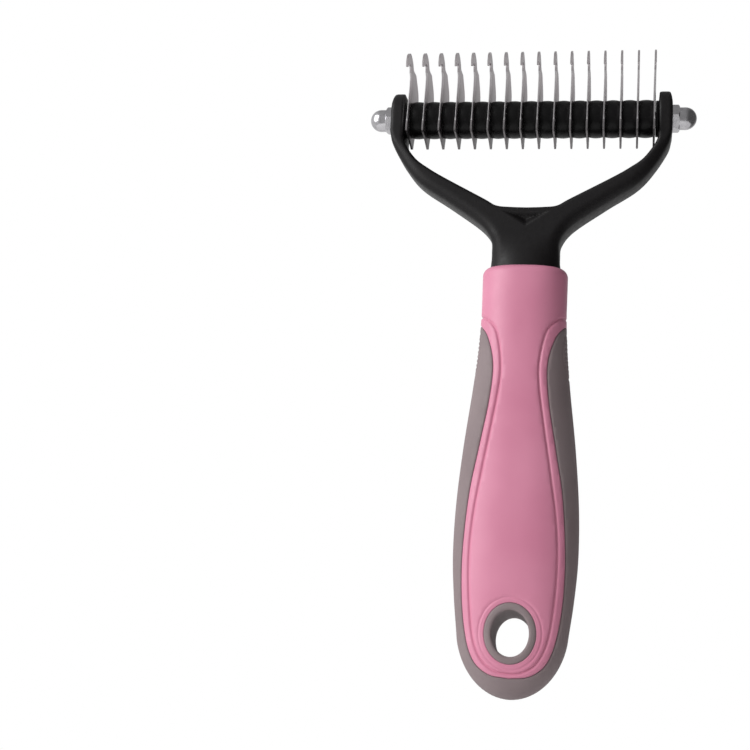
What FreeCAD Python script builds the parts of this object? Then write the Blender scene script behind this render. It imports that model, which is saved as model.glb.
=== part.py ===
import FreeCAD, Part
import math
import os

# Dematting comb: a two-shot handle, a forked yoke, and a row of hooked blades with spacers
# between them on one threaded axle, clamped by a dome nut at each end.
# Millimetres. +Z runs up the comb towards the blades, +X along the axle, and the hooks
# point to -Y. The origin is the middle of the grip, on the axis of the collar.

# Axle, blades and spacers
AXLE_Z = 104.8
ROD_R = 2.0
ROD_HALF_LENGTH = 44.0
ROD_CHAMFER = 0.4
BLADE_COUNT = 16
BLADE_PITCH = 4.68
BLADE_THICKNESS = 0.6
RUNNING_CLEARANCE = 0.08
SPACER_R = 5.4
SPACER_END_R = 5.1

# Dome nuts, 7 mm across flats, each sunk a little into its ear
NUT_FLATS = 7.0
NUT_SEAT_X = 39.0
NUT_HEX_LENGTH = 3.2
NUT_BORE_R = ROD_R + RUNNING_CLEARANCE
NUT_CHAMFER = 0.5
NUT_CHAMFER_SLOPE = 1.2
DOME_R = 3.2
DOME_TIP_X = 47.0
DOME_WALL = 1.0
COUNTERBORE_R = 4.5

# Yoke
EAR_OUTER_X = 40.2
EAR_INNER_X = 36.2
EAR_TOP_Z = 112.6
EAR_HALF_DEPTH = 6.4
EAR_HOLE_R = 2.15
BOSS_GAP = 0.3
NECK_HALF_WIDTH = 9.5
NECK_HALF_DEPTH = 7.0
VALLEY_HALF_WIDTH = 8.6
VALLEY_Z = 77.9
VALLEY_SAG = 0.6
RECESS_DEPTH = 2.2
RECESS_BOTTOM_Z = 72.1
RECESS_TOP_HALF_WIDTH = 11.9
RECESS_BOTTOM_HALF_WIDTH = 0.8
YOKE_EDGE_R = 0.8
TANG_HALF_WIDTH = 7.0
TANG_HALF_DEPTH = 4.5
TANG_BOTTOM_Z = 8.0
TANG_EDGE_R = 2.0
TAPER_TOP_Z = 86.0
TAPER_BOTTOM_Z = 68.0
NECK_INSET = 6.0

# Handle
COLLAR_TOP_Z = 60.5
COLLAR_EDGE_R = 2.4
SQUARENESS = 2.35
BEND_START_Z = 25.0
BEND_RADIUS = 640.0
GRIP_SKIN = 3.0
INNER_CORE_TOP_Z = 40.5
SMALLEST_SECTION = 1.0

# Hanging hole: an oval tube, square to the bent butt
HOLE_Z = -41.5
HOLE_TILT = 8.0
HOLE_HALF_WIDTH = 5.1
HOLE_HALF_HEIGHT = 6.2
LINER_WALL = 2.05

# Lengths that only need to run clear of the part, or past a joining face
REACH = 60.0
OVERLAP = 3.0

# Half-width and half-depth of the handle at each height
HANDLE_STATIONS = [
    (60.5, 12.05, 9.2),
    (46.0, 12.05, 9.2),
    (36.0, 12.6, 9.2),
    (25.5, 13.7, 9.6),
    (9.0, 15.7, 10.3),
    (-7.0, 17.05, 10.7),
    (-21.0, 17.3, 10.4),
    (-32.0, 16.55, 9.6),
]
BUTT_Z = -59.6
BUTT_CENTRE_Z = -39.7
BUTT_HALF_WIDTH = 15.5
BUTT_HALF_DEPTH = 8.9
BUTT_FULLNESS = 0.8
BUTT_FIRST_ANGLE = 4.0
BUTT_LAST_ANGLE = 85.0
BUTT_STEPS = 7

# Edge between the two materials, from the top of the side grip down to the butt
BOUNDARY = [
    (13.2, 44.6),
    (9.5, 39.6),
    (7.65, 32.0),
    (8.3, 22.0),
    (10.7, 8.4),
    (13.0, -5.0),
    (14.2, -23.0),
    (13.3, -38.0),
    (10.6, -48.2),
    (6.0, -52.6),
]
BOUNDARY_BOTTOM_Z = -53.6

# Yoke edges, right-hand side
ARM_OUTER = [
    (40.2, 100.0),
    (39.2, 96.0),
    (36.0, 90.4),
    (31.0, 84.6),
    (22.2, 78.8),
    (13.1, 72.4),
    (9.8, 68.0),
    (9.5, 64.0),
]
ARM_INNER = [
    (36.2, 100.5),
    (35.95, 97.0),
    (32.6, 92.0),
    (28.5, 88.9),
    (23.4, 85.9),
    (12.2, 79.9),
    (8.6, 77.9),
]

# Blade edge in the (Y, Z) plane, from the axle
HOOK_TOP = [(-0.2, 15.3), (-2.6, 17.2), (-6.6, 18.0), (-10.6, 16.2), (-12.0, 13.7)]
HOOK_TIP = [(-12.0, 13.7), (-11.6, 12.5), (-10.4, 12.7)]
HOOK_THROAT = [(-10.4, 12.7), (-8.3, 14.4), (-5.7, 14.4), (-4.7, 11.8)]
CUTTING_EDGE = [(-4.7, 11.8), (-5.1, 8.4), (-6.5, 3.4), (-8.2, -4.4)]
FRONT_CORNER = [(-8.2, -4.4), (-8.1, -5.2), (-7.3, -5.5)]
TAIL_EDGE = [(-7.3, -5.5), (-2.0, -6.3), (3.4, -7.7)]
TAIL_TIP = [(3.4, -7.7), (4.8, -7.2), (5.4, -5.9)]
SPINE = [(5.4, -5.9), (8.6, 0.0), (11.0, 6.0), (10.6, 11.2), (4.8, 15.4)]
SHOULDER = [(4.8, 15.4), (2.0, 15.3), (-0.2, 15.3)]


def vec(x, y, z):
    return FreeCAD.Vector(x, y, z)


def curve(points):
    """A smooth curve through the points."""
    spline = Part.BSplineCurve()
    spline.interpolate(points)
    return spline.toShape()


def box(low, high):
    """A box between two corners."""
    size = [b - a for a, b in zip(low, high)]
    return Part.makeBox(*size, vec(*low))


def ellipse_prism(half_x, half_z, length):
    """An elliptical bar along Y, centred on the origin."""
    count = 24
    points = []
    for i in range(count):
        a = 2 * math.pi * i / count
        points.append(vec(half_x * math.cos(a), -length / 2, half_z * math.sin(a)))
    spline = Part.BSplineCurve()
    spline.interpolate(points, PeriodicFlag=True)
    face = Part.Face(Part.Wire(spline.toShape()))
    return face.extrude(vec(0, length, 0))


def bend_y(z):
    """How far the handle's middle leans towards the hooks at a height."""
    drop = max(0.0, BEND_START_Z - z)
    return -drop * drop / (2 * BEND_RADIUS)


def handle_section(z, half_width, half_depth):
    """A rounded, slightly squared closed curve at one height of the handle."""
    count = 32
    power = 2 / SQUARENESS
    points = []
    for i in range(count):
        a = 2 * math.pi * (i + 0.5) / count
        c, s = math.cos(a), math.sin(a)
        x = half_width * math.copysign(abs(c) ** power, c)
        y = half_depth * math.copysign(abs(s) ** power, s)
        points.append(vec(x, y + bend_y(z), z))
    spline = Part.BSplineCurve()
    spline.interpolate(points, PeriodicFlag=True)
    return Part.Wire(spline.toShape())


def handle_stations():
    """The measured stations, then a half-ellipse down to the butt."""
    stations = list(HANDLE_STATIONS)
    drop = BUTT_CENTRE_Z - BUTT_Z
    turn = (BUTT_LAST_ANGLE - BUTT_FIRST_ANGLE) / BUTT_STEPS
    for i in range(BUTT_STEPS + 1):
        a = math.radians(BUTT_FIRST_ANGLE + turn * i)
        z = BUTT_CENTRE_Z - drop * math.sin(a)
        shrink = math.cos(a)
        stations.append((z, BUTT_HALF_WIDTH * shrink, BUTT_HALF_DEPTH * shrink ** BUTT_FULLNESS))
    return stations


def handle_body(inset):
    """The handle's whole outside, or the same shape drawn in by an inset."""
    wires = []
    for z, half_width, half_depth in handle_stations():
        if min(half_width, half_depth) - inset > SMALLEST_SECTION:
            wires.append(handle_section(z, half_width - inset, half_depth - inset))
    return Part.makeLoft(wires, True, False)


def boundary_slab():
    """Everything between the two boundary curves, through the whole thickness."""
    right = [vec(x, -REACH, z) for x, z in BOUNDARY]
    left = [vec(-x, -REACH, z) for x, z in reversed(BOUNDARY)]
    lower = right + [vec(0, -REACH, BOUNDARY_BOTTOM_Z)] + left
    top_z = COLLAR_TOP_Z + OVERLAP
    corners = [left[-1], vec(-REACH / 2, -REACH, BOUNDARY[0][1])]
    corners.append(vec(-REACH / 2, -REACH, top_z))
    corners.append(vec(REACH / 2, -REACH, top_z))
    corners.append(vec(REACH / 2, -REACH, BOUNDARY[0][1]))
    corners.append(right[0])
    edges = [curve(lower)] + [Part.makeLine(a, b) for a, b in zip(corners, corners[1:])]
    face = Part.Face(Part.Wire(Part.__sortEdges__(edges)))
    return face.extrude(vec(0, 2 * REACH, 0))


def hole_prism(grow):
    """The oval hanging hole, or the same oval grown by a wall."""
    prism = ellipse_prism(HOLE_HALF_WIDTH + grow, HOLE_HALF_HEIGHT + grow, REACH)
    prism.rotate(vec(0, 0, 0), vec(1, 0, 0), -HOLE_TILT)
    prism.translate(vec(0, bend_y(HOLE_Z), HOLE_Z))
    return prism


def tang():
    """The part of the yoke that is moulded into the handle."""
    low = (-TANG_HALF_WIDTH, -TANG_HALF_DEPTH, TANG_BOTTOM_Z)
    high = (TANG_HALF_WIDTH, TANG_HALF_DEPTH, COLLAR_TOP_Z + OVERLAP)
    bar = box(low, high)
    upright = [e for e in bar.Edges if abs(e.tangentAt(0).z) > 0.9]
    return bar.makeFillet(TANG_EDGE_R, upright)


def neck_socket():
    """The neck's own section, let into the top of the collar."""
    wires = []
    for z in (COLLAR_TOP_Z - NECK_INSET, COLLAR_TOP_Z + NECK_INSET):
        wires.append(handle_section(z, NECK_HALF_WIDTH, NECK_HALF_DEPTH))
    return Part.makeLoft(wires, True, True)


def make_handle():
    body = handle_body(0)
    top_face = max(body.Faces, key=lambda f: f.CenterOfMass.z)
    body = body.makeFillet(COLLAR_EDGE_R, top_face.Edges)
    slab = boundary_slab()
    hole = hole_prism(0)
    liner_space = hole_prism(LINER_WALL)
    inner = handle_body(GRIP_SKIN)
    below_collar = box((-REACH, -REACH, -2 * REACH), (REACH, REACH, INNER_CORE_TOP_Z))
    inner = inner.common(below_collar)

    core = body.common(slab).fuse(inner)
    core = core.cut(tang()).cut(neck_socket()).cut(liner_space)
    grip = body.cut(slab).cut(inner)
    liner = body.common(liner_space).cut(hole)
    return core.removeSplitter(), grip, liner


def yoke_outline():
    """The yoke seen from the front, down to just inside the collar."""
    def mirrored(points):
        return [(-x, z) for x, z in points]

    def at(points):
        return [vec(x, -REACH, z) for x, z in points]

    low_z = COLLAR_TOP_Z - NECK_INSET
    valley = [ARM_INNER[-1], (0, VALLEY_Z - VALLEY_SAG), mirrored(ARM_INNER)[-1]]
    edges = [curve(at(valley))]
    for side in (ARM_INNER, mirrored(ARM_INNER), ARM_OUTER, mirrored(ARM_OUTER)):
        edges.append(curve(at(side)))
    for sign in (1, -1):
        corners = [ARM_INNER[0], (EAR_INNER_X, EAR_TOP_Z), (EAR_OUTER_X, EAR_TOP_Z), ARM_OUTER[0]]
        corners = at([(sign * x, z) for x, z in corners])
        edges += [Part.makeLine(a, b) for a, b in zip(corners, corners[1:])]
        neck_side = at([(sign * NECK_HALF_WIDTH, z) for z in (ARM_OUTER[-1][1], low_z)])
        edges.append(Part.makeLine(*neck_side))
    edges.append(Part.makeLine(*at([(NECK_HALF_WIDTH, low_z), (-NECK_HALF_WIDTH, low_z)])))
    face = Part.Face(Part.Wire(Part.__sortEdges__(edges)))
    return face.extrude(vec(0, 2 * REACH, 0))


def yoke_side():
    """The yoke seen from the side: round ear tops, a slightly deeper neck."""
    centre_z = EAR_TOP_Z - EAR_HALF_DEPTH
    low_z = COLLAR_TOP_Z - NECK_INSET

    def at(y, z):
        return vec(-REACH, y, z)

    top = Part.Arc(at(-EAR_HALF_DEPTH, centre_z), at(0, EAR_TOP_Z), at(EAR_HALF_DEPTH, centre_z))
    edges = [top.toShape()]
    for sign in (1, -1):
        points = [(EAR_HALF_DEPTH, centre_z), (EAR_HALF_DEPTH, TAPER_TOP_Z)]
        points.append((NECK_HALF_DEPTH, TAPER_BOTTOM_Z))
        points.append((NECK_HALF_DEPTH, low_z))
        points = [at(sign * y, z) for y, z in points]
        edges += [Part.makeLine(a, b) for a, b in zip(points, points[1:])]
    edges.append(Part.makeLine(at(NECK_HALF_DEPTH, low_z), at(-NECK_HALF_DEPTH, low_z)))
    face = Part.Face(Part.Wire(Part.__sortEdges__(edges)))
    return face.extrude(vec(2 * REACH, 0, 0))


def web_recess():
    """A triangular pocket under the valley, on the front or back of the web."""
    top = (RECESS_TOP_HALF_WIDTH, VALLEY_Z + OVERLAP)
    bottom = (RECESS_BOTTOM_HALF_WIDTH, RECESS_BOTTOM_Z)
    corners = [(-top[0], top[1]), top, bottom, (-bottom[0], bottom[1])]
    points = [vec(x, 0, z) for x, z in corners]
    wire = Part.makePolygon(points + points[:1])
    return Part.Face(wire).extrude(vec(0, RECESS_DEPTH + OVERLAP, 0))


def axle_cylinder(radius, x_from, x_to):
    """A round bar on the axle's line between two places along it."""
    return Part.makeCylinder(radius, x_to - x_from, vec(x_from, 0, AXLE_Z), vec(1, 0, 0))


def make_yoke():
    yoke = yoke_outline().common(yoke_side())
    rims = [e for e in yoke.Edges if e.BoundBox.ZLength > 0.1 and e.CenterOfMass.z > COLLAR_TOP_Z + OVERLAP]
    yoke = yoke.makeFillet(YOKE_EDGE_R, rims)
    socket = neck_socket()
    lower = box((-REACH, -REACH, 0), (REACH, REACH, COLLAR_TOP_Z))
    yoke = yoke.cut(lower).fuse(socket)
    recess = web_recess()
    for sign in (1, -1):
        pocket = recess.copy()
        if sign < 0:
            pocket.rotate(vec(0, 0, 0), vec(0, 0, 1), 180)
        pocket.translate(vec(0, sign * (NECK_HALF_DEPTH - RECESS_DEPTH), 0))
        yoke = yoke.cut(pocket)
    blade_end = BLADE_PITCH * (BLADE_COUNT - 1) / 2 + BLADE_THICKNESS / 2
    for sign in (1, -1):
        ends = sorted([sign * (blade_end + BOSS_GAP), sign * (EAR_INNER_X + BOSS_GAP)])
        yoke = yoke.fuse(axle_cylinder(SPACER_END_R, *ends))
    yoke = yoke.fuse(tang())
    yoke = yoke.cut(axle_cylinder(EAR_HOLE_R, -REACH, REACH))
    for sign in (1, -1):
        ends = sorted([sign * NUT_SEAT_X, sign * (EAR_OUTER_X + OVERLAP)])
        yoke = yoke.cut(axle_cylinder(COUNTERBORE_R, *ends))
    return yoke.removeSplitter()


def make_rod():
    rod = axle_cylinder(ROD_R, -ROD_HALF_LENGTH, ROD_HALF_LENGTH)
    return rod.makeChamfer(ROD_CHAMFER, rod.Edges[0:1] + rod.Edges[2:3])


def blade_plate():
    """One blade, centred on x = 0."""
    edges = []
    for points in (HOOK_TOP, HOOK_TIP, HOOK_THROAT, CUTTING_EDGE, FRONT_CORNER,
                   TAIL_EDGE, TAIL_TIP, SPINE, SHOULDER):
        edges.append(curve([vec(-BLADE_THICKNESS / 2, y, AXLE_Z + z) for y, z in points]))
    face = Part.Face(Part.Wire(Part.__sortEdges__(edges)))
    plate = face.extrude(vec(BLADE_THICKNESS, 0, 0))
    return plate.cut(axle_cylinder(ROD_R + RUNNING_CLEARANCE, -BLADE_THICKNESS, BLADE_THICKNESS))


def spacer_ring():
    """One spacer, centred on x = 0: slightly fuller in the middle than at its ends."""
    half = (BLADE_PITCH - BLADE_THICKNESS) / 2
    bore_r = ROD_R + RUNNING_CLEARANCE
    barrel = Part.Arc(vec(-half, 0, SPACER_END_R), vec(0, 0, SPACER_R), vec(half, 0, SPACER_END_R))
    corners = [vec(half, 0, SPACER_END_R), vec(half, 0, bore_r), vec(-half, 0, bore_r)]
    corners.append(vec(-half, 0, SPACER_END_R))
    edges = [barrel.toShape()]
    edges += [Part.makeLine(a, b) for a, b in zip(corners, corners[1:])]
    face = Part.Face(Part.Wire(edges))
    ring = face.revolve(vec(0, 0, 0), vec(1, 0, 0), 360)
    ring.translate(vec(0, 0, AXLE_Z))
    return ring


def nut_hex(sign):
    """The hexagonal body of a dome nut."""
    across_corners = NUT_FLATS / math.cos(math.radians(30))
    points = []
    for i in range(7):
        a = math.radians(60 * i)
        y, z = across_corners / 2 * math.cos(a), across_corners / 2 * math.sin(a)
        points.append(vec(0, y, z))
    prism = Part.Face(Part.makePolygon(points)).extrude(vec(NUT_HEX_LENGTH, 0, 0))
    outer_end_r = across_corners / 2 - NUT_CHAMFER
    seat_end_r = outer_end_r + NUT_HEX_LENGTH * NUT_CHAMFER_SLOPE
    cone = Part.makeCone(seat_end_r, outer_end_r, NUT_HEX_LENGTH, vec(0, 0, 0), vec(1, 0, 0))
    prism = prism.common(cone)
    prism = prism.cut(Part.makeCylinder(NUT_BORE_R, NUT_HEX_LENGTH, vec(0, 0, 0), vec(1, 0, 0)))
    prism.translate(vec(NUT_SEAT_X, 0, AXLE_Z))
    if sign < 0:
        prism.rotate(vec(0, 0, AXLE_Z), vec(0, 0, 1), 180)
    return prism


def nut_dome(sign):
    """The round cap on a nut, hollow for the end of the rod."""
    base_x = NUT_SEAT_X + NUT_HEX_LENGTH
    length = DOME_TIP_X - base_x
    straight = length - DOME_R
    axis = vec(1, 0, 0)
    outside = Part.makeCylinder(DOME_R, straight, vec(0, 0, 0), axis)
    outside = outside.fuse(Part.makeSphere(DOME_R, vec(straight, 0, 0)))
    outside = outside.common(box((0, -REACH, -REACH), (REACH, REACH, REACH)))
    cavity = Part.makeCylinder(NUT_BORE_R, length - DOME_WALL - NUT_BORE_R, vec(0, 0, 0), axis)
    cavity = cavity.fuse(Part.makeSphere(NUT_BORE_R, vec(length - DOME_WALL - NUT_BORE_R, 0, 0)))
    dome = outside.cut(cavity).removeSplitter()
    dome.translate(vec(base_x, 0, AXLE_Z))
    if sign < 0:
        dome.rotate(vec(0, 0, AXLE_Z), vec(0, 0, 1), 180)
    return dome


def export(name, shape):
    shape.exportStep("parts/" + name + ".step")
    print(name, len(shape.Solids), round(shape.Volume, 1), shape.isValid())


os.makedirs("parts", exist_ok=True)

core, grip, liner = make_handle()
export("handle_core", core)
export("grip_band", grip)
export("hang_hole_liner", liner)
export("yoke_frame", make_yoke())
export("axle_rod", make_rod())

plate = blade_plate()
for i in range(BLADE_COUNT):
    blade = plate.copy()
    blade.translate(vec((i - (BLADE_COUNT - 1) / 2) * BLADE_PITCH, 0, 0))
    export("blade_%02d" % (i + 1), blade)

ring = spacer_ring()
for i in range(BLADE_COUNT - 1):
    spacer = ring.copy()
    spacer.translate(vec((i - (BLADE_COUNT - 2) / 2) * BLADE_PITCH, 0, 0))
    export("spacer_%02d" % (i + 1), spacer)

for side, sign in (("left", -1), ("right", 1)):
    export(side + "_nut_hex", nut_hex(sign))
    export(side + "_nut_dome", nut_dome(sign))
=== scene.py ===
import math

import bmesh
import bpy
import numpy as np
from mathutils import Matrix, Vector
from mathutils.geometry import delaunay_2d_cdt


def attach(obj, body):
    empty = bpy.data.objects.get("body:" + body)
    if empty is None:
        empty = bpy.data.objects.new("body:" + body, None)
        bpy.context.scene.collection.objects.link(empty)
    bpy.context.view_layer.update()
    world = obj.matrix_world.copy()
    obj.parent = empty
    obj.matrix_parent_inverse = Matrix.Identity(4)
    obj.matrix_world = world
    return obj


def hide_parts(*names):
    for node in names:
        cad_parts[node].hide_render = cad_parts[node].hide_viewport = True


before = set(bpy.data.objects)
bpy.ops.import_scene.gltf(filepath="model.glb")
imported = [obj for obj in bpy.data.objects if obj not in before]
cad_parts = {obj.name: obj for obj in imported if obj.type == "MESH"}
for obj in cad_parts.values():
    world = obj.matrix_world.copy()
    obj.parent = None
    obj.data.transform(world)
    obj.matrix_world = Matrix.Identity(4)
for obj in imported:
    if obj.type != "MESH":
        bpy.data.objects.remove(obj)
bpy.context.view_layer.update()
MM = 0.001

# ---------------------------------------------------------------- handle sizes, millimetres
COLLAR_TOP = 60.5
COLLAR_EDGE = 2.4
COLLAR_EDGE_STEPS = 12
COLLAR_HALF = (12.05, 9.2)
NECK_MOUTH_HALF = (9.2, 6.4)
SQUARENESS = 2.35
BEND_START = 25.0
BEND_RADIUS = 640.0
STATIONS = [
    (58.1, 12.05, 9.2),
    (52.0, 12.03, 9.2),
    (46.0, 12.05, 9.2),
    (36.0, 12.6, 9.2),
    (25.5, 13.7, 9.6),
    (9.0, 15.7, 10.3),
    (-7.0, 17.05, 10.7),
    (-21.0, 17.3, 10.4),
    (-32.0, 16.55, 9.6),
]
BUTT_Z = -59.45
BUTT_CENTRE_Z = -39.7
BUTT_HALF_WIDTH = 15.5
BUTT_HALF_DEPTH = 8.9
BUTT_FULLNESS = 0.8
BUTT_JOIN_ANGLE = 15.6
BUTT_LAST_ANGLE = 89.2
BUTT_ROWS = 60

# Curves on the front and back of the handle, as half-width and height
SEAM = [(12.3, 43.9), (9.5, 39.6), (7.65, 32.0), (8.3, 22.0), (10.7, 8.4), (13.0, -5.0),
        (14.2, -23.0), (13.3, -38.0), (10.6, -48.2), (6.0, -52.6), (0.0, -53.6)]
GROOVE = [(12.2, 46.2), (9.6, 44.6), (6.9, 41.0), (5.4, 33.0), (5.6, 26.0), (7.3, 15.0),
          (9.5, 2.0), (11.4, -10.5), (12.1, -22.0), (11.5, -34.0), (10.1, -43.5), (7.4, -49.2),
          (3.6, -51.8), (0.0, -52.3)]
GROOVE_DEPTH = 0.5
GROOVE_HALF_WIDTH = 0.65
SEAM_DEPTH = 0.3
SEAM_HALF_WIDTH = 0.35

HOLE_Z = -42.8
HOLE_TILT = math.radians(8.0)
HOLE_HALF = (5.1, 6.2)
RIM_HALF = (7.15, 8.25)
RING_HALF = (8.6, 9.7)
RING_DEPTH = 0.16
RING_HALF_WIDTH = 0.4
DISH_DEPTH = 0.12
DISH_SLOPE = 1.2
FACE_DEPTH = 9.0

# Ribbed oval for the thumb, on each side of the soft grip
THUMB_Z = 35.5
THUMB_HALF = (4.6, 6.4)
THUMB_RIM_DEPTH = 0.28
THUMB_RIM_SHARE = 0.09
RIB_HEIGHT = 0.24
RIB_PITCH = 1.25
RIB_SLANT = 0.35
RIB_SINK = 0.7

# Spacing of the handle's mesh
MESH_STEP = 0.9
THUMB_ROW_STEP = 0.22
THUMB_COLUMN_STEP = 0.35
THUMB_COLUMNS = 17
CLEAR_OF_LINES = 0.17


def catmull(points, per_span):
    """Points along a smooth curve through the given points."""
    p = np.array(points, float)
    p = np.vstack([2 * p[0] - p[1], p, 2 * p[-1] - p[-2]])
    out = []
    for i in range(1, len(p) - 2):
        a, b, c, d = p[i - 1], p[i], p[i + 1], p[i + 2]
        for t in np.arange(per_span) / per_span:
            out.append(0.5 * (2 * b + (c - a) * t + (2 * a - 5 * b + 4 * c - d) * t * t
                              + (3 * b - a - 3 * c + d) * t ** 3))
    out.append(p[-2])
    return np.array(out)


def smooth(x):
    """0 to 1 with level ends."""
    x = np.clip(x, 0.0, 1.0)
    return x * x * (3 - 2 * x)


class HandleSurface:
    """The handle's outside, laid out flat: s runs round from the front's middle to the side,
    v runs down from the collar, and both are close to millimetres on the surface."""

    ANGLES = 160

    def __init__(self):
        rows = [(COLLAR_TOP, *NECK_MOUTH_HALF)]
        for i in range(COLLAR_EDGE_STEPS + 1):
            a = math.radians(90 - 90 * i / COLLAR_EDGE_STEPS)
            inset = COLLAR_EDGE * (1 - math.cos(a))
            z = COLLAR_TOP - COLLAR_EDGE * (1 - math.sin(a))
            rows.append((z, COLLAR_HALF[0] - inset, COLLAR_HALF[1] - inset))
        drop = BUTT_CENTRE_Z - BUTT_Z

        def butt(degrees):
            a = math.radians(degrees)
            shrink = max(math.cos(a), 0.0)
            return (BUTT_CENTRE_Z - drop * math.sin(a), BUTT_HALF_WIDTH * shrink,
                    BUTT_HALF_DEPTH * shrink ** BUTT_FULLNESS)

        join = butt(BUTT_JOIN_ANGLE)
        spline = catmull(STATIONS + [butt(4), join, butt(27)], 14)[1:]
        rows += [tuple(r) for r in spline if r[0] > join[0] + 1e-6]
        rows += [butt(d) for d in np.linspace(BUTT_JOIN_ANGLE, BUTT_LAST_ANGLE, BUTT_ROWS)]
        self.z, self.w, self.d = np.array(rows).T
        steps = np.sqrt(np.diff(self.z) ** 2 + (np.diff(self.w) ** 2 + np.diff(self.d) ** 2) / 2)
        self.v = np.concatenate([[0], np.cumsum(steps)])
        a = np.linspace(0, math.pi / 2, self.ANGLES)
        power = 2 / SQUARENESS
        x = self.w[:, None] * np.sin(a) ** power
        y = self.d[:, None] * np.cos(a) ** power
        x[:, -1], y[:, -1] = self.w, 0
        self.arc = np.concatenate([np.zeros((len(self.z), 1)),
                                   np.cumsum(np.hypot(np.diff(x), np.diff(y)), axis=1)], axis=1)
        self.a = a
        self.power = power

    def row(self, v, table):
        """A table of the rows read at v."""
        return np.interp(v, self.v, table)

    def side(self, v):
        """s at the side's middle."""
        return self.row(v, self.arc[:, -1])

    def v_of_z(self, z):
        """v at a height, below the collar's rounded edge."""
        return np.interp(-np.asarray(z), -self.z[1:], self.v[1:])

    def angle(self, s, v):
        """The angle round each row at s."""
        k = np.clip(np.searchsorted(self.v, v) - 1, 0, len(self.v) - 2)
        t = (v - self.v[k]) / (self.v[k + 1] - self.v[k])
        out = np.empty_like(s)
        for i in range(len(s)):
            arc = self.arc[k[i]] * (1 - t[i]) + self.arc[k[i] + 1] * t[i]
            out[i] = np.interp(s[i], arc, self.a)
        return out

    def flat(self, xz):
        """(s, v) of points given as (x, z) on the front."""
        xz = np.asarray(xz, float)
        v = self.v_of_z(xz[:, 1])
        w = self.row(v, self.w)
        a = np.arcsin(np.clip(xz[:, 0] / w, 0, 1) ** (1 / self.power))
        s = np.array([np.interp(ai, self.a, self.arc_at(vi)) for ai, vi in zip(a, v)])
        return np.column_stack([s, v])

    def arc_at(self, v):
        """Distance round the handle at each angle, at one v."""
        k = int(np.clip(np.searchsorted(self.v, v) - 1, 0, len(self.v) - 2))
        t = (v - self.v[k]) / (self.v[k + 1] - self.v[k])
        return self.arc[k] * (1 - t) + self.arc[k + 1] * t

    def point(self, s, v):
        """(points, outward normals) on the front right quarter, the bend not yet applied."""
        a = self.angle(s, v)
        z, w, d = (self.row(v, t) for t in (self.z, self.w, self.d))
        x = w * np.sin(a) ** self.power
        y = -d * np.clip(np.cos(a), 0, 1) ** self.power
        m = SQUARENESS
        dv = 0.05
        lo, hi = np.clip(v - dv, 0, self.v[-1]), np.clip(v + dv, 0, self.v[-1])
        dz = self.row(hi, self.z) - self.row(lo, self.z)
        dz = np.where(np.abs(dz) < 1e-5, -1e-5, dz)
        dw = (self.row(hi, self.w) - self.row(lo, self.w)) / dz
        dd = (self.row(hi, self.d) - self.row(lo, self.d)) / dz
        gx = np.abs(x) ** (m - 1) / w ** m
        gy = -np.abs(y) ** (m - 1) / d ** m
        gz = -(np.abs(x) ** m * dw / w ** (m + 1) + np.abs(y) ** m * dd / d ** (m + 1))
        n = np.column_stack([gx, gy, gz])
        n /= np.linalg.norm(n, axis=1)[:, None]
        return np.column_stack([x, y, z]), n


def bend_y(z):
    """How far the handle's middle leans towards the hooks."""
    drop = np.maximum(0.0, BEND_START - np.asarray(z, float))
    return -drop * drop / (2 * BEND_RADIUS)


SURFACE = HandleSurface()


def surface_y(x, z):
    """Half-depth of the handle at points seen from the front."""
    v = SURFACE.v_of_z(z)
    w, d = SURFACE.row(v, SURFACE.w), SURFACE.row(v, SURFACE.d)
    return d * np.clip(1 - (np.abs(x) / w) ** SQUARENESS, 0, 1) ** (1 / SQUARENESS)


def distance_to(points, line):
    """Distance from each point to an open polyline."""
    a, b = line[:-1], line[1:]
    ab = b - a
    best = np.full(len(points), 1e9)
    for p0, d in zip(a, ab):
        rel = points - p0
        t = np.clip((rel @ d) / max(d @ d, 1e-12), 0, 1)
        best = np.minimum(best, np.hypot(*(rel - t[:, None] * d).T))
    return best


def offset(line, by):
    """A polyline moved sideways, its ends kept on the front's middle and the side's middle."""
    t = np.gradient(line, axis=0)
    n = np.column_stack([-t[:, 1], t[:, 0]]) / np.linalg.norm(t, axis=1)[:, None]
    moved = line + by * n
    moved[:, 0] = np.clip(moved[:, 0], 0, None)
    moved[0, 0] = SURFACE.side(moved[0, 1])
    moved[-1, 0] = 0
    moved[:, 0] = np.minimum(moved[:, 0], SURFACE.side(moved[:, 1]))
    return moved


def resample(line, step):
    """The polyline with evenly spaced points."""
    length = np.concatenate([[0], np.cumsum(np.hypot(*np.diff(line, axis=0).T))])
    count = max(2, int(round(length[-1] / step)) + 1)
    at = np.linspace(0, length[-1], count)
    return np.column_stack([np.interp(at, length, line[:, i]) for i in (0, 1)])


SEAM_LINE = resample(SURFACE.flat(catmull(SEAM, 12)), 0.5)
GROOVE_LINE = resample(SURFACE.flat(catmull(GROOVE, 12)), 0.5)


def hole_centre_z(back):
    """Height of the hanging hole's middle on the front or back face."""
    return HOLE_Z + (-1 if back else 1) * FACE_DEPTH * math.tan(HOLE_TILT)


def ellipse_share(xz, centre_z, half):
    """1 on an oval round the hanging hole, less inside it, more outside."""
    return np.hypot(xz[:, 0] / half[0], (xz[:, 1] - centre_z) / half[1])


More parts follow.
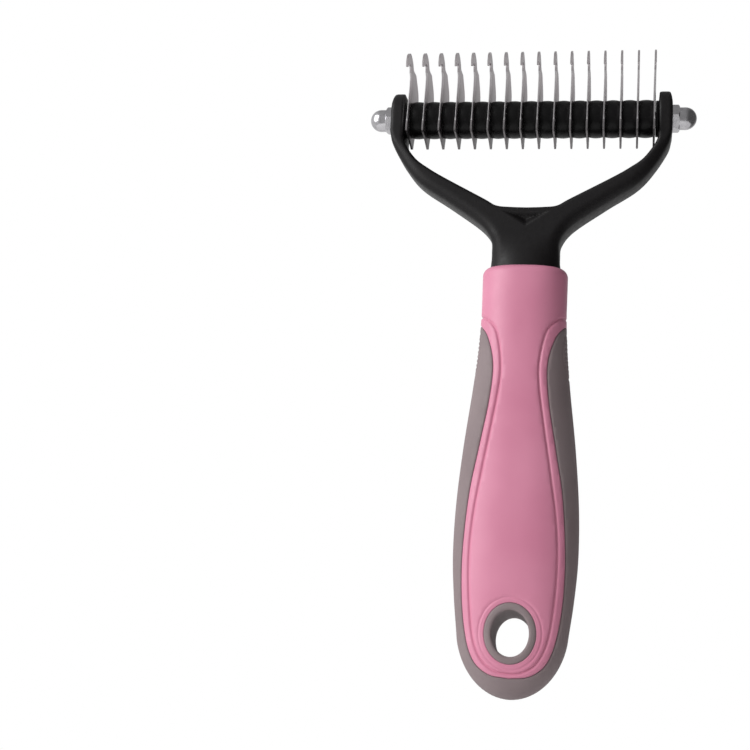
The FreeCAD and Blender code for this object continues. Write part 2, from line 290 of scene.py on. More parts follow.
def relief(sv, points, back, grey):
    """How far the surface stands proud of its smooth shape, in millimetres."""
    to_seam = distance_to(sv, SEAM_LINE)
    out = -SEAM_DEPTH * (1 - smooth(to_seam / SEAM_HALF_WIDTH))
    if grey:
        side = SURFACE.side(sv[:, 1])
        across, up = side - sv[:, 0], points[:, 2] - THUMB_Z
        share = np.hypot(across / THUMB_HALF[0], up / THUMB_HALF[1])
        ribs = 0.5 + 0.5 * np.cos(2 * math.pi * (up + RIB_SLANT * across) / RIB_PITCH)
        out = out - THUMB_RIM_DEPTH * (1 - smooth(np.abs(share - 1) / THUMB_RIM_SHARE))
        return out + RIB_HEIGHT * (ribs - RIB_SINK) * smooth((0.88 - share) / 0.12)
    to_groove = distance_to(sv, GROOVE_LINE)
    out = out - GROOVE_DEPTH * (1 - smooth(to_groove / GROOVE_HALF_WIDTH)) ** 1.4
    ring = (ellipse_share(points[:, [0, 2]], hole_centre_z(back), RING_HALF) - 1) * RING_HALF[0]
    out = out - RING_DEPTH * (1 - smooth(np.abs(ring) / RING_HALF_WIDTH))
    return out - DISH_DEPTH * smooth(-ring / DISH_SLOPE)


def inside_grey(sv):
    """True where a flat point lies outside the seam, on the soft grip."""
    line = SEAM_LINE
    v_top = line[0, 1]
    s_seam = np.interp(sv[:, 1], line[:, 1], line[:, 0])
    return ((sv[:, 1] > v_top) & (sv[:, 0] > s_seam)) | (sv[:, 1] > line[-1, 1])


def quarter(back):
    """(flat points, triangles) over one quarter of the handle, split along every line."""
    hole_z = hole_centre_z(back)
    lines = [SEAM_LINE]
    lines += [offset(SEAM_LINE, k * SEAM_HALF_WIDTH) for k in (-1, -0.5, 0.5, 1)]
    lines += [GROOVE_LINE]
    lines += [offset(GROOVE_LINE, k * GROOVE_HALF_WIDTH) for k in (-1, -0.6, -0.3, 0.3, 0.6, 1)]
    ovals = []
    for grow in (0.0, 0.35, 0.8):
        ovals.append((RIM_HALF[0] + grow, RIM_HALF[1] + grow))
    for grow in (-0.4, -0.2, 0.0, 0.2, 0.4):
        ovals.append((RING_HALF[0] + grow, RING_HALF[1] + grow))
    for half in ovals:
        a = np.linspace(-math.pi / 2, math.pi / 2, 73)
        xz = np.column_stack([half[0] * np.cos(a), hole_z + half[1] * np.sin(a)])
        line = SURFACE.flat(xz)
        line[0, 0] = line[-1, 0] = 0
        lines.append(line)

    bottom = SURFACE.v[-1]
    collar_rows = SURFACE.v[:COLLAR_EDGE_STEPS + 2]
    rows = np.concatenate([collar_rows, np.arange(collar_rows[-1], bottom, MESH_STEP), [bottom]])
    rows = np.unique(np.round(rows, 6))
    ends = [p for line in lines for p in (line[0], line[-1])]
    side_v = set(rows) | {round(float(p[1]), 6) for p in ends if p[0] > 1}
    middle_v = set(rows) | {round(float(p[1]), 6) for p in ends if p[0] == 0}
    side = [(float(SURFACE.side(v)), v) for v in sorted(side_v)]
    middle = [(0.0, v) for v in sorted(middle_v)]
    verts, edges = [], []

    def add_line(points):
        start = len(verts)
        verts.extend(tuple(map(float, p)) for p in points)
        edges.extend((i, i + 1) for i in range(start, len(verts) - 1))

    add_line(side)
    add_line(middle)
    for line in lines:
        add_line(line)
    fixed = np.array(verts)
    loose = []
    for v in rows[1:-1]:
        width = float(SURFACE.side(v))
        count = max(2, int(width / MESH_STEP))
        loose += [(width * i / count, v) for i in range(1, count)]
    thumb_v = SURFACE.v_of_z(np.array([THUMB_Z + 8, THUMB_Z - 8]))
    for v in np.arange(thumb_v[0], thumb_v[1], THUMB_ROW_STEP):
        width = float(SURFACE.side(v))
        loose += [(width - THUMB_COLUMN_STEP * i - CLEAR_OF_LINES, v) for i in range(THUMB_COLUMNS)]
    loose = np.array(loose)
    keep = np.ones(len(loose), bool)
    for start in range(0, len(loose), 500):
        part = loose[start:start + 500]
        gap = np.hypot(part[:, None, 0] - fixed[None, :, 0], part[:, None, 1] - fixed[None, :, 1])
        keep[start:start + 500] = gap.min(axis=1) > CLEAR_OF_LINES
    verts.extend(map(tuple, loose[keep]))
    made = delaunay_2d_cdt([Vector(p) for p in verts], edges, [], 0, 1e-5)
    flat = np.array([tuple(p) for p in made[0]])
    tris = np.array([f for f in made[2] if len(f) == 3])
    centre = flat[tris].mean(axis=1)
    kept = centre[:, 0] < SURFACE.side(centre[:, 1]) - 1e-4
    where, _ = SURFACE.point(centre[:, 0], centre[:, 1])
    kept &= ellipse_share(where[:, [0, 2]], hole_z, RIM_HALF) > 1
    return flat, tris[kept], centre[kept]


def skin(name, grey, thickness):
    """The soft grip or the rigid core, as a closed shell that follows the handle's surface."""
    bm = bmesh.new()
    for back in (False, True):
        flat, tris, centre = quarter(back)
        chosen = tris[inside_grey(centre) == grey]
        used = np.unique(chosen)
        index = {int(k): i for i, k in enumerate(used)}
        sv = flat[used]
        sv[:, 0] = np.minimum(sv[:, 0], SURFACE.side(sv[:, 1]))
        points, normals = SURFACE.point(sv[:, 0], sv[:, 1])
        points = points + normals * relief(sv, points, back, grey)[:, None]
        if back:
            points[:, 1] *= -1
        points[:, 1] += bend_y(points[:, 2])
        for mirror in (1, -1):
            p = points * [mirror, 1, 1] * MM
            made = [bm.verts.new(q) for q in p]
            flip = (mirror < 0) != back
            for tri in chosen:
                corners = [made[index[int(k)]] for k in tri]
                if len(set(corners)) == 3:
                    bm.faces.new(corners[::-1] if flip else corners)
    bmesh.ops.remove_doubles(bm, verts=bm.verts, dist=2e-6)
    bmesh.ops.recalc_face_normals(bm, faces=bm.faces)
    piece = mesh_object(name, bm)
    shell = piece.modifiers.new("wall", "SOLIDIFY")
    shell.thickness = thickness * MM
    shell.offset = -1
    return piece


def mesh_object(name, bm, smooth_faces=True):
    """An object in the scene from a mesh being built."""
    mesh = bpy.data.meshes.new(name)
    bm.to_mesh(mesh)
    bm.free()
    piece = bpy.data.objects.new(name, mesh)
    bpy.context.scene.collection.objects.link(piece)
    if smooth_faces:
        mesh.shade_smooth()
    return piece


def make_liner():
    """The oval tube through the butt with a rounded rim on each face."""
    bm = bmesh.new()
    around = 96
    rings = []
    for back in (False, True):
        sign = 1 if back else -1
        face = []
        for share in np.linspace(0, 1, 15):
            ring = []
            for k in range(around):
                a = 2 * math.pi * k / around
                half = [RIM_HALF[i] + (HOLE_HALF[i] - RIM_HALF[i]) * min(share / 0.72, 1) for i in (0, 1)]
                x, dz = half[0] * math.cos(a), half[1] * math.sin(a)
                z = hole_centre_z(back) + dz
                depth = float(surface_y(np.array([x]), np.array([z]))[0])
                rise = 0.12 * math.sin(math.pi * min(share / 0.72, 1)) - 0.25 * smooth(1 - share / 0.12)
                lip = 1.3 * max(0.0, share - 0.5) ** 2 / 0.25
                y = sign * (depth + rise - lip) + float(bend_y(z))
                ring.append(bm.verts.new(Vector((x, y, z)) * MM))
            face.append(ring)
        rings.append(face)
    strip = rings[0] + rings[1][::-1]
    for first, second in zip(strip, strip[1:]):
        for k in range(around):
            n = (k + 1) % around
            bm.faces.new((first[k], first[n], second[n], second[k]))
    bmesh.ops.recalc_face_normals(bm, faces=bm.faces)
    piece = mesh_object("hole_liner_rims", bm)
    shell = piece.modifiers.new("wall", "SOLIDIFY")
    shell.thickness = 0.8 * MM
    shell.offset = -1
    return piece


# ---------------------------------------------------------------- yoke, millimetres
AXLE_Z = 104.8
ARM_OUTER = [(40.2, 100.0), (39.2, 96.0), (36.0, 90.4), (31.0, 84.6), (22.2, 78.8), (13.1, 72.4),
             (9.8, 68.0), (9.5, 64.0)]
ARM_INNER = [(0.0, 77.3), (4.6, 77.45), (8.6, 77.9), (12.2, 79.9), (23.4, 85.9), (28.5, 88.9),
             (32.6, 92.0), (35.95, 97.0), (36.2, 100.5)]
EAR_TOP = 112.6
EAR_HALF_DEPTH = 6.4
NECK_HALF = (9.96, 7.0)
NECK_END = 59.5
OUTER_ROUND = (3.0, 2.6)
INNER_ROUND = (0.9, 0.8)
RECESS = [(-7.4, 76.4), (7.4, 76.4), (0.0, 71.6)]
RECESS_DEPTH = 1.5
RECESS_SLOPE = 2.2


def inside(points, polygon):
    """True for points inside a closed polygon."""
    x, z = points.T
    hit = np.zeros(len(points), bool)
    for (x0, z0), (x1, z1) in zip(polygon, np.roll(polygon, -1, axis=0)):
        if z0 != z1:
            cross = x0 + (z - z0) * (x1 - x0) / (z1 - z0)
            hit ^= ((z0 > z) != (z1 > z)) & (x < cross)
    return hit


def rounding(distance, size):
    """How far a surface falls back towards a rounded edge of the given width and drop."""
    share = np.clip(1 - distance / size[0], 0, 1)
    return size[1] * (1 - np.sqrt(1 - share * share))


def pushed_in(line, by):
    """A polyline moved to its left."""
    t = np.gradient(line, axis=0)
    n = np.column_stack([-t[:, 1], t[:, 0]]) / np.linalg.norm(t, axis=1)[:, None]
    return line + by * n


def filled(outline, lines, loose, holes=()):
    """(points, triangles) inside a closed outline, with the given lines and points in it."""
    verts, edges = [], []
    for loop in [outline, *holes]:
        start, count = len(verts), len(loop)
        verts += [tuple(map(float, q)) for q in loop]
        edges += [(start + i, start + (i + 1) % count) for i in range(count)]
    fixed = np.array(verts)
    for line in lines:
        apart = np.array([np.hypot(*(fixed - q).T).min() > 0.12 for q in line])
        line = line[inside(line, outline) & apart]
        verts += [tuple(map(float, q)) for q in line]
    fixed = np.array(verts)
    for q in loose[inside(loose, outline)]:
        if np.hypot(*(fixed - q).T).min() > 0.3:
            verts.append(tuple(map(float, q)))
    made = delaunay_2d_cdt([Vector(q) for q in verts], edges, [], 0, 1e-5)
    flat = np.array([tuple(q) for q in made[0]])
    tris = np.array([f for f in made[2] if len(f) == 3])
    centre = flat[tris].mean(axis=1)
    keep = inside(centre, outline)
    for hole in holes:
        keep &= ~inside(centre, hole)
    return flat, tris[keep]


def slab_between(bm, flat, tris, height, place):
    """Adds both faces and the rim of a piece that has the same height on either side."""
    sides = []
    for sign in (-1, 1):
        sides.append([bm.verts.new(Vector(place(q, sign * h)) * MM) for q, h in zip(flat, height)])
    rim = {}
    for tri in tris:
        for a, b in zip(tri, np.roll(tri, -1)):
            rim[(int(a), int(b))] = True
        bm.faces.new([sides[0][int(i)] for i in tri])
        bm.faces.new([sides[1][int(i)] for i in tri][::-1])
    for a, b in rim:
        if (b, a) not in rim:
            bm.faces.new((sides[0][b], sides[0][a], sides[1][a], sides[1][b]))


def yoke_profile():
    """(outer line from the ear's top to the neck, inner line from the valley to the ear's top)."""
    outer = catmull(ARM_OUTER, 14)
    corner = [(38.1, EAR_TOP), (38.85, EAR_TOP - 0.08), (39.35, EAR_TOP - 0.5), (39.55, EAR_TOP - 1.1),
              (39.85, 110.2), (40.1, 108.4), (40.2, 106.4), (40.2, 104.0)]
    outer = np.vstack([corner, outer, [(9.55, 62.6), (9.8, 61.2), (9.95, NECK_END)]])
    inner = catmull(ARM_INNER, 14)
    inner = np.vstack([inner, [(36.2, 104.0), (36.22, 108.0), (36.45, EAR_TOP - 1.2),
                               (36.7, EAR_TOP - 0.5), (37.3, EAR_TOP - 0.08), (38.1, EAR_TOP)]])
    return outer, inner


def yoke_height(points, outer, inner):
    """Half-depth of the yoke at points seen from the front."""
    x, z = points.T
    depth = np.interp(z, [68.0, 86.0], [NECK_HALF[1], EAR_HALF_DEPTH])
    up = np.clip((z - (EAR_TOP - EAR_HALF_DEPTH)) / EAR_HALF_DEPTH, 0, 1)
    depth = depth * np.sqrt(1 - up * up * 0.9995)
    near_ear = smooth((z - 92.0) / 8.0)
    width = OUTER_ROUND[0] * (1 - near_ear) + 1.0 * near_ear
    drop = OUTER_ROUND[1] * (1 - near_ear) + 0.9 * near_ear
    share = np.clip(1 - distance_to(points, outer) / width, 0, 1)
    fall = drop * (1 - np.sqrt(1 - share * share))
    fall = fall + rounding(distance_to(points, inner), INNER_ROUND)
    height = depth * (1 - fall / EAR_HALF_DEPTH)
    tri = np.array(RECESS)
    closed = np.vstack([tri, tri[:1]])
    pocket = np.where(inside(points, tri), distance_to(points, closed), 0)
    height = height - RECESS_DEPTH * smooth(pocket / RECESS_SLOPE)
    round_neck = NECK_HALF[1] * np.clip(1 - (np.abs(x) / NECK_HALF[0]) ** SQUARENESS, 0, 1) ** (1 / SQUARENESS)
    blend = smooth((z - 61.0) / 9.0)
    return np.maximum(height * blend + round_neck * (1 - blend), 0.02)


def make_yoke():
    """The forked frame, drilled for the axle and recessed for the nuts."""
    outer, inner = yoke_profile()
    outer, inner = resample(outer, 0.4), resample(inner, 0.4)
    up_middle = np.column_stack([np.zeros(40), np.linspace(NECK_END, 77.3, 41)[:-1]])
    bottom = np.column_stack([np.linspace(9.95, 0, 25)[1:-1], np.full(23, NECK_END)])
    outline = np.vstack([outer, bottom, up_middle, inner[:-1]])
    lines = [pushed_in(outer, -k) for k in (0.08, 0.25, 0.5, 0.8, 1.2, 1.7, 2.3, 3.0)]
    lines += [pushed_in(inner, -k) for k in (0.06, 0.2, 0.4, 0.65, 0.9)]
    grid_x, grid_z = np.meshgrid(np.arange(0.35, 41, 0.6), np.arange(60, 112.6, 0.6))
    below_top = np.array([0.03, 0.1, 0.2, 0.35, 0.6, 0.9, 1.4])
    dome_x, dome_z = np.meshgrid(np.linspace(36.3, 40.1, 9), EAR_TOP - below_top)
    pocket_x, pocket_z = np.meshgrid(np.arange(0.2, 7.8, 0.25), np.arange(71.2, 76.8, 0.25))
    loose = np.vstack([np.column_stack([x.ravel(), z.ravel()]) for x, z in
                       ((dome_x, dome_z), (grid_x, grid_z), (pocket_x, pocket_z))])
    flat, tris = filled(outline, lines, loose)
    height = yoke_height(flat, outer, inner)
    bm = bmesh.new()
    slab_between(bm, flat, tris, height, lambda q, h: (q[0], h, q[1]))
    slab_between(bm, flat, tris, height, lambda q, h: (-q[0], h, q[1]))
    middle = [f for f in bm.faces if all(abs(v.co.x) < 1e-7 for v in f.verts)]
    bmesh.ops.delete(bm, geom=middle, context="FACES")
    bmesh.ops.remove_doubles(bm, verts=bm.verts, dist=1e-6)
    bmesh.ops.recalc_face_normals(bm, faces=bm.faces)
    piece = mesh_object("yoke_moulding", bm)
    drill(piece, 2.15, -41.0, 41.0)
    drill(piece, 4.5, 39.0, 42.0)
    drill(piece, 4.5, -42.0, -39.0)
    mesh = piece.data
    mesh.shade_smooth()
    mesh.set_sharp_from_angle(angle=math.radians(50))
    return piece


def drill(piece, radius, x_from, x_to):
    """Cuts a round hole along the axle's line."""
    bm = bmesh.new()
    turn = Matrix.Rotation(math.pi / 2, 4, "Y")
    place = Matrix.Translation(Vector(((x_from + x_to) / 2, 0, AXLE_Z)) * MM) @ turn
    bmesh.ops.create_cone(bm, cap_ends=True, segments=64, radius1=radius * MM, radius2=radius * MM,
                          depth=(x_to - x_from) * MM, matrix=place)
    cutter = mesh_object("cutter", bm, False)
    cut = piece.modifiers.new("cut", "BOOLEAN")
    cut.operation = "DIFFERENCE"
    cut.object = cutter
    cut.solver = "EXACT"
    made = bpy.data.meshes.new_from_object(piece.evaluated_get(bpy.context.evaluated_depsgraph_get()))
    piece.modifiers.clear()
    piece.data = made
    bpy.data.objects.remove(cutter)


def make_bosses():
    """The short round faces inside the ears that the end blades run against."""
    bm = bmesh.new()
    around = 64
    for sign in (1, -1):
        rings = []
        for x, r in ((36.4, 2.2), (35.5, 2.2), (35.5, 5.0), (35.6, 5.15), (36.4, 5.15)):
            ring = []
            for k in range(around):
                a = 2 * math.pi * k / around
                ring.append(bm.verts.new(Vector((sign * x, r * math.cos(a), AXLE_Z + r * math.sin(a))) * MM))
            rings.append(ring)
        for first, second in zip(rings, rings[1:] + rings[:1]):
            for k in range(around):
                n = (k + 1) % around
                bm.faces.new((first[k], first[n], second[n], second[k]))
    bmesh.ops.recalc_face_normals(bm, faces=bm.faces)
    piece = mesh_object("ear_bosses", bm)
    piece.data.set_sharp_from_angle(angle=math.radians(40))
    return piece


# ---------------------------------------------------------------- blades, from the axle
BLADE_COUNT = 16
THICKNESS = 0.6
PITCH = 4.68
BORE = 2.08
HOOK = [(-0.2, 15.3), (-2.6, 17.2), (-6.6, 18.0), (-10.6, 16.2), (-12.0, 13.7)]
TIP = [(-12.0, 13.7), (-11.6, 12.5), (-10.4, 12.7)]
THROAT = [(-10.4, 12.7), (-8.3, 14.4), (-5.7, 14.4), (-4.7, 11.8)]
CUTTING = [(-4.7, 11.8), (-5.1, 8.4), (-6.5, 3.4), (-8.2, -4.4)]
CORNER = [(-8.2, -4.4), (-8.1, -5.2), (-7.3, -5.5)]
TAIL = [(-7.3, -5.5), (-2.0, -6.3), (3.4, -7.7)]
TAIL_TIP = [(3.4, -7.7), (4.8, -7.2), (5.4, -5.9)]
SPINE = [(5.4, -5.9), (8.5, 0.0), (10.8, 6.0), (10.4, 11.2), (4.8, 15.4)]
SHOULDER = [(4.8, 15.4), (2.0, 15.3), (-0.2, 15.3)]
GROUND_WIDTH = 1.5
EDGE_SHARE = 0.35


def blade_mesh():
    """One hooked blade, its cutting edge ground from both sides."""
    spans = [catmull(line, 8) for line in (HOOK, TIP, THROAT, CUTTING, CORNER, TAIL, TAIL_TIP, SPINE, SHOULDER)]
    outline = np.vstack([span[:-1] for span in spans])
    a = np.linspace(0, 2 * math.pi, 49)[:-1]
    bore = BORE * np.column_stack([np.cos(a), np.sin(a)])
    cutting = spans[3][1:-3]
    lines = [pushed_in(cutting, k) for k in (0.3, GROUND_WIDTH - 0.1, GROUND_WIDTH)]
    grid_y, grid_z = np.meshgrid(np.arange(-12, 12, 0.8), np.arange(-8, 18, 0.8))
    loose = np.column_stack([grid_y.ravel(), grid_z.ravel()])
    loose = loose[np.hypot(*loose.T) > BORE + 0.3]
    flat, tris = filled(outline, lines, loose, [bore])
    grow = np.clip(distance_to(flat, cutting) / GROUND_WIDTH, 0, 1)
    height = THICKNESS / 2 * (EDGE_SHARE + (1 - EDGE_SHARE) * grow)
    rim = np.clip(distance_to(flat, np.vstack([outline, outline[:1]])) / 0.25, 0, 1)
    height = height * (0.8 + 0.2 * rim)
    bm = bmesh.new()
    slab_between(bm, flat, tris, height, lambda q, h: (h, q[0], AXLE_Z + q[1]))
    bmesh.ops.recalc_face_normals(bm, faces=bm.faces)
    bm.faces.ensure_lookup_table()
    middles = np.array([f.calc_center_median() for f in bm.faces]) / MM - [0, 0, AXLE_Z]
    near_edge = distance_to(middles[:, 1:], cutting) < GROUND_WIDTH
    for face, ground in zip(bm.faces, near_edge):
        face.material_index = int(ground)
    return bm


def make_blades():
    """Every blade, sharing one mesh, each at its place along the axle."""
    first = mesh_object("blade_plate_01", blade_mesh())
    first.data.set_sharp_from_angle(angle=math.radians(30))
    blades = [first]
    for i in range(1, BLADE_COUNT):
        blade = bpy.data.objects.new("blade_plate_%02d" % (i + 1), first.data)
        bpy.context.scene.collection.objects.link(blade)
        blades.append(blade)
    for i, blade in enumerate(blades):
        blade.location.x = (i - (BLADE_COUNT - 1) / 2) * PITCH * MM
    return blades


# ---------------------------------------------------------------- materials
def nodes_of(name):
    """A new material with its node tree and its shader."""
    material = bpy.data.materials.new(name)
    material.use_nodes = True
    tree = material.node_tree
    shader = tree.nodes["Principled BSDF"]
    return material, tree, shader


def noise(tree, scale, detail=3.0, stretch=(1, 1, 1)):
    """A noise texture in object space; scale is in features per metre."""
    where = tree.nodes.new("ShaderNodeTexCoord")
    mapping = tree.nodes.new("ShaderNodeMapping")
    mapping.inputs["Scale"].default_value = [scale * k for k in stretch]
    texture = tree.nodes.new("ShaderNodeTexNoise")
    texture.inputs["Scale"].default_value = 1.0
    texture.inputs["Detail"].default_value = detail
    tree.links.new(where.outputs["Object"], mapping.inputs["Vector"])
    tree.links.new(mapping.outputs["Vector"], texture.inputs["Vector"])
    return texture.outputs["Fac"]


def ramp(tree, source, low, high, start=0.3, end=0.7):
    """The source's value spread from one colour to another."""
    node = tree.nodes.new("ShaderNodeValToRGB")
    node.color_ramp.elements[0].position = start
    node.color_ramp.elements[1].position = end
    node.color_ramp.elements[0].color = (*low, 1)
    node.color_ramp.elements[1].color = (*high, 1)
    tree.links.new(source, node.inputs["Fac"])
    return node.outputs["Color"]


def spread(tree, source, low, high):
    """The source's value, from 0..1 to low..high."""
    node = tree.nodes.new("ShaderNodeMapRange")
    node.inputs["From Min"].default_value = 0.3
    node.inputs["From Max"].default_value = 0.7
    node.inputs["To Min"].default_value = low
    node.inputs["To Max"].default_value = high
    tree.links.new(source, node.inputs["Value"])
    return node.outputs["Result"]


def bump(tree, shader, source, distance, strength):
    """Raises the surface by the source's value."""
    node = tree.nodes.new("ShaderNodeBump")
    node.inputs["Distance"].default_value = distance
    node.inputs["Strength"].default_value = strength
    tree.links.new(source, node.inputs["Height"])
    tree.links.new(node.outputs["Normal"], shader.inputs["Normal"])


def moulded(name, low, high, roughness, grain_per_metre, grain_height, gloss=0.5):
    """Moulded plastic or soft grip: cloudy colour, a fine moulded grain, uneven gloss."""
    material, tree, shader = nodes_of(name)
    tree.links.new(ramp(tree, noise(tree, 60, 2), low, high), shader.inputs["Base Color"])
    tree.links.new(spread(tree, noise(tree, 900, 4), *roughness), shader.inputs["Roughness"])
    shader.inputs["Specular IOR Level"].default_value = gloss
    bump(tree, shader, noise(tree, grain_per_metre, 2), grain_height, 0.6)
    return material


def darker_below(tree, colour, z_from, z_to, share):
    """The colour, falling to a share of itself at the lower height."""
    where = tree.nodes.new("ShaderNodeTexCoord")
    parts = tree.nodes.new("ShaderNodeSeparateXYZ")
    height = tree.nodes.new("ShaderNodeMapRange")
    height.inputs["From Min"].default_value = z_from
    height.inputs["From Max"].default_value = z_to
    height.inputs["To Min"].default_value = share
    scaled = tree.nodes.new("ShaderNodeVectorMath")
    scaled.operation = "SCALE"
    tree.links.new(where.outputs["Object"], parts.inputs["Vector"])
    tree.links.new(parts.outputs["Z"], height.inputs["Value"])
    tree.links.new(colour, scaled.inputs[0])
    tree.links.new(height.outputs["Result"], scaled.inputs["Scale"])
    return scaled.outputs["Vector"]


def metal(name, low, high, roughness, stretch, scratch_height, painted_shade=None):
    """Metal with fine ground lines, darkened towards the bottom by painted shade if a fade is given."""
    material, tree, shader = nodes_of(name)
    shader.inputs["Metallic"].default_value = 1.0
    lines = noise(tree, 900, 4, stretch)
    colour = ramp(tree, lines, low, high)
    # painted shade: the colour is darkened towards the bottom
    if painted_shade:
        colour = darker_below(tree, colour, *painted_shade)
    tree.links.new(colour, shader.inputs["Base Color"])
    tree.links.new(spread(tree, noise(tree, 700, 4, stretch), *roughness), shader.inputs["Roughness"])
    bump(tree, shader, lines, scratch_height, 0.4)
    return material


PINK = moulded("pink_satin_plastic", (0.58, 0.2, 0.305), (0.63, 0.235, 0.345), (0.42, 0.52), 5200, 0.00002)
GREY = moulded("warm_grey_soft_grip", (0.203, 0.158, 0.163), (0.238, 0.19, 0.195), (0.62, 0.75),
               4200, 0.00003, 0.4)
BLACK = moulded("black_grained_nylon", (0.004, 0.0033, 0.0038), (0.0065, 0.0055, 0.006),
                (0.42, 0.54), 2600, 0.00004, 0.28)
SPACER = moulded("black_spacer_plastic", (0.002, 0.002, 0.002), (0.004, 0.0035, 0.004),
                 (0.3, 0.42), 3600, 0.00002, 0.2)
# Blade steel with painted shade: its colour falls to 36 percent from 118 mm down to 100 mm high, dark near the
# spacer bar.
STEEL = metal("ground_blade_steel", (0.54, 0.5, 0.515), (0.72, 0.68, 0.69), (0.36, 0.48), (1, 6, 0.5),
              0.000003, (0.1, 0.118, 0.36))
GROUND_STEEL = metal("ground_edge_steel", (0.78, 0.75, 0.76), (0.9, 0.88, 0.89), (0.3, 0.42),
                     (1, 6, 0.5), 0.000003)
ROD = metal("bright_rod_steel", (0.5, 0.5, 0.5), (0.65, 0.65, 0.66), (0.2, 0.35), (4, 1, 1), 0.000004)
PLATED = metal("bright_plated_steel", (0.50, 0.49, 0.51), (0.62, 0.61, 0.63), (0.2, 0.28), (1, 1, 1), 0.000003)


def finish_cad(node, material):
    """Gives a CAD node that stays as it is its material."""
    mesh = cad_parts[node].data
    mesh.materials.clear()
    mesh.materials.append(material)


# ---------------------------------------------------------------- pieces
core = skin("handle_core_moulding", False, 1.6)
grip = skin("soft_grip_moulding", True, 2.4)
liner = make_liner()
for piece, material, slot, node in (
    (core, PINK, "handle_plastic", "handle_core"),
    (grip, GREY, "grip_rubber", "grip_band"),
    (liner, GREY, "grip_rubber", "hang_hole_liner"),
):
    piece.data.materials.append(material)
    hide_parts(node)
    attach(piece, "handle")

for piece in (make_yoke(), make_bosses()):
    piece.data.materials.append(BLACK)
    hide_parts("yoke_frame")
    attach(piece, "handle")

blades = make_blades()
blades[0].data.materials.append(STEEL)
blades[0].data.materials.append(GROUND_STEEL)
for i, blade in enumerate(blades):
    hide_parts("blade_%02d" % (i + 1))
    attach(blade, "blade_stack")

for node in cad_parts:
    if node.startswith("spacer"):
        finish_cad(node, SPACER)
    elif "nut" in node:
        finish_cad(node, PLATED)
finish_cad("axle_rod", ROD)


# ---------------------------------------------------------------- studio
def area_light(name, place, aim, size, power, mirrored):
    """A soft rectangular light, seen in shiny surfaces only if mirrored."""
    data = bpy.data.lights.new(name, "AREA")
    data.shape = "RECTANGLE"
    data.size, data.size_y = size
    data.energy = power
    light = bpy.data.objects.new(name, data)
    light.location = place
    light.rotation_euler = (Vector(aim) - Vector(place)).to_track_quat("-Z", "Y").to_euler()
    light.visible_glossy = mirrored
    bpy.context.scene.collection.objects.link(light)


def make_floor():
    """A round pale table, below and out of the camera's sight."""
    bm = bmesh.new()
    bmesh.ops.create_circle(bm, cap_ends=True, segments=96, radius=0.28,
                            matrix=Matrix.Translation((0, 0, -0.13)))
    floor = mesh_object("floor", bm, False)
    pale = moulded("pale_floor", (0.86, 0.86, 0.86), (0.88, 0.88, 0.88), (0.8, 0.9), 40, 0.0001)
    floor.data.materials.append(pale)


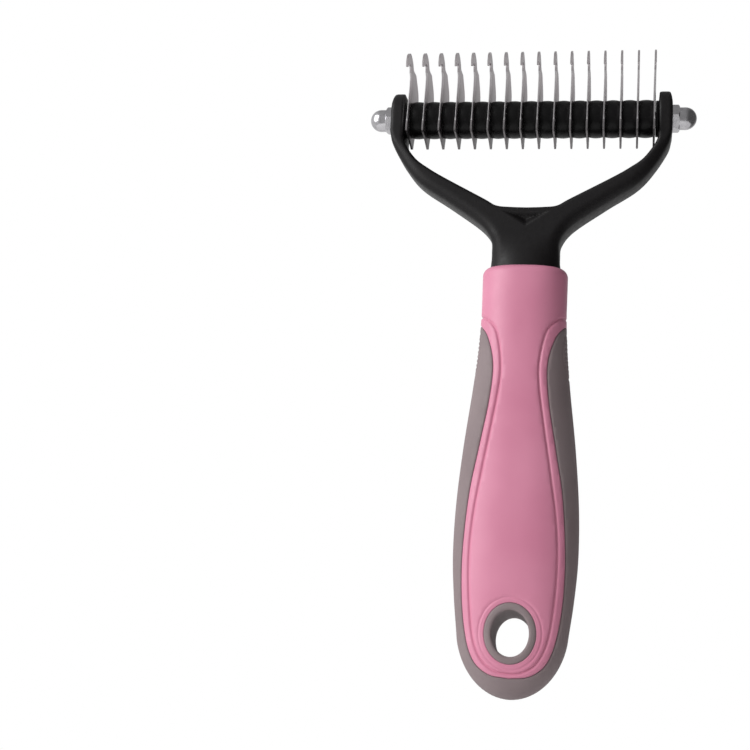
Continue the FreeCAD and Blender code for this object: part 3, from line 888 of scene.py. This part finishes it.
def make_world():
    """White to the camera, softer as a light source."""
    world = bpy.data.worlds.new("studio")
    bpy.context.scene.world = world
    world.use_nodes = True
    tree = world.node_tree
    tree.nodes.clear()
    path = tree.nodes.new("ShaderNodeLightPath")
    seen = tree.nodes.new("ShaderNodeBackground")
    seen.inputs["Strength"].default_value = 1.0
    seen.inputs["Color"].default_value = (1, 1, 1, 1)
    lit = tree.nodes.new("ShaderNodeBackground")
    where = tree.nodes.new("ShaderNodeTexCoord")
    parts = tree.nodes.new("ShaderNodeSeparateXYZ")
    across = tree.nodes.new("ShaderNodeValToRGB")
    across.color_ramp.elements[0].position = 0.0
    across.color_ramp.elements[0].color = (0.75, 0.75, 0.75, 1)
    across.color_ramp.elements[1].position = 0.75
    across.color_ramp.elements[1].color = (0.10, 0.10, 0.10, 1)
    half = tree.nodes.new("ShaderNodeMapRange")
    half.inputs["From Min"].default_value = -1.0
    tree.links.new(where.outputs["Generated"], parts.inputs["Vector"])
    tree.links.new(parts.outputs["X"], half.inputs["Value"])
    tree.links.new(half.outputs["Result"], across.inputs["Fac"])
    behind = tree.nodes.new("ShaderNodeMapRange")
    behind.inputs["From Min"].default_value = 0.55
    behind.inputs["From Max"].default_value = 0.95
    behind.inputs["To Max"].default_value = 0.42
    tree.links.new(parts.outputs["Y"], behind.inputs["Value"])
    both = tree.nodes.new("ShaderNodeMix")
    both.data_type = "RGBA"
    both.blend_type = "ADD"
    both.inputs["Factor"].default_value = 1.0
    tree.links.new(across.outputs["Color"], both.inputs[6])
    tree.links.new(behind.outputs["Result"], both.inputs[7])
    tree.links.new(both.outputs[2], lit.inputs["Color"])
    mix = tree.nodes.new("ShaderNodeMixShader")
    out = tree.nodes.new("ShaderNodeOutputWorld")
    tree.links.new(path.outputs["Is Camera Ray"], mix.inputs["Fac"])
    tree.links.new(lit.outputs["Background"], mix.inputs[1])
    tree.links.new(seen.outputs["Background"], mix.inputs[2])
    tree.links.new(mix.outputs["Shader"], out.inputs["Surface"])


def make_camera(target, azimuth, elevation, roll, distance, lens):
    """A camera aimed at the target, with angles in degrees."""
    a, e, r = (math.radians(k) for k in (azimuth, elevation, roll))
    back = Vector((math.sin(a) * math.cos(e), -math.cos(a) * math.cos(e), math.sin(e)))
    right = Vector((0, 0, 1)).cross(back).normalized()
    up = back.cross(right)
    right, up = right * math.cos(r) + up * math.sin(r), up * math.cos(r) - right * math.sin(r)
    data = bpy.data.cameras.new("camera")
    data.lens = lens
    data.sensor_width = 36.0
    data.clip_start = 0.01
    data.clip_end = 50.0
    camera = bpy.data.objects.new("camera", data)
    turn = Matrix((right, up, back)).transposed().to_4x4()
    camera.matrix_world = Matrix.Translation(Vector(target) + back * distance) @ turn
    bpy.context.scene.collection.objects.link(camera)
    bpy.context.scene.camera = camera


make_floor()
make_world()
area_light("key", (-0.75, -0.55, 0.35), (0, 0, 0.02), (0.6, 0.9), 9.0, True)
area_light("fill", (0.7, -0.8, 0.2), (0, 0, 0.04), (0.5, 0.8), 1.5, False)
area_light("top", (-0.1, 0.2, 0.9), (0, 0, 0.05), (0.8, 0.8), 4.0, False)
make_camera((-0.0422, 0.0, 0.0292), 10.31, -7.76, 2.75, 0.4207, 70.2)
bpy.context.scene.view_settings.view_transform = "Standard"
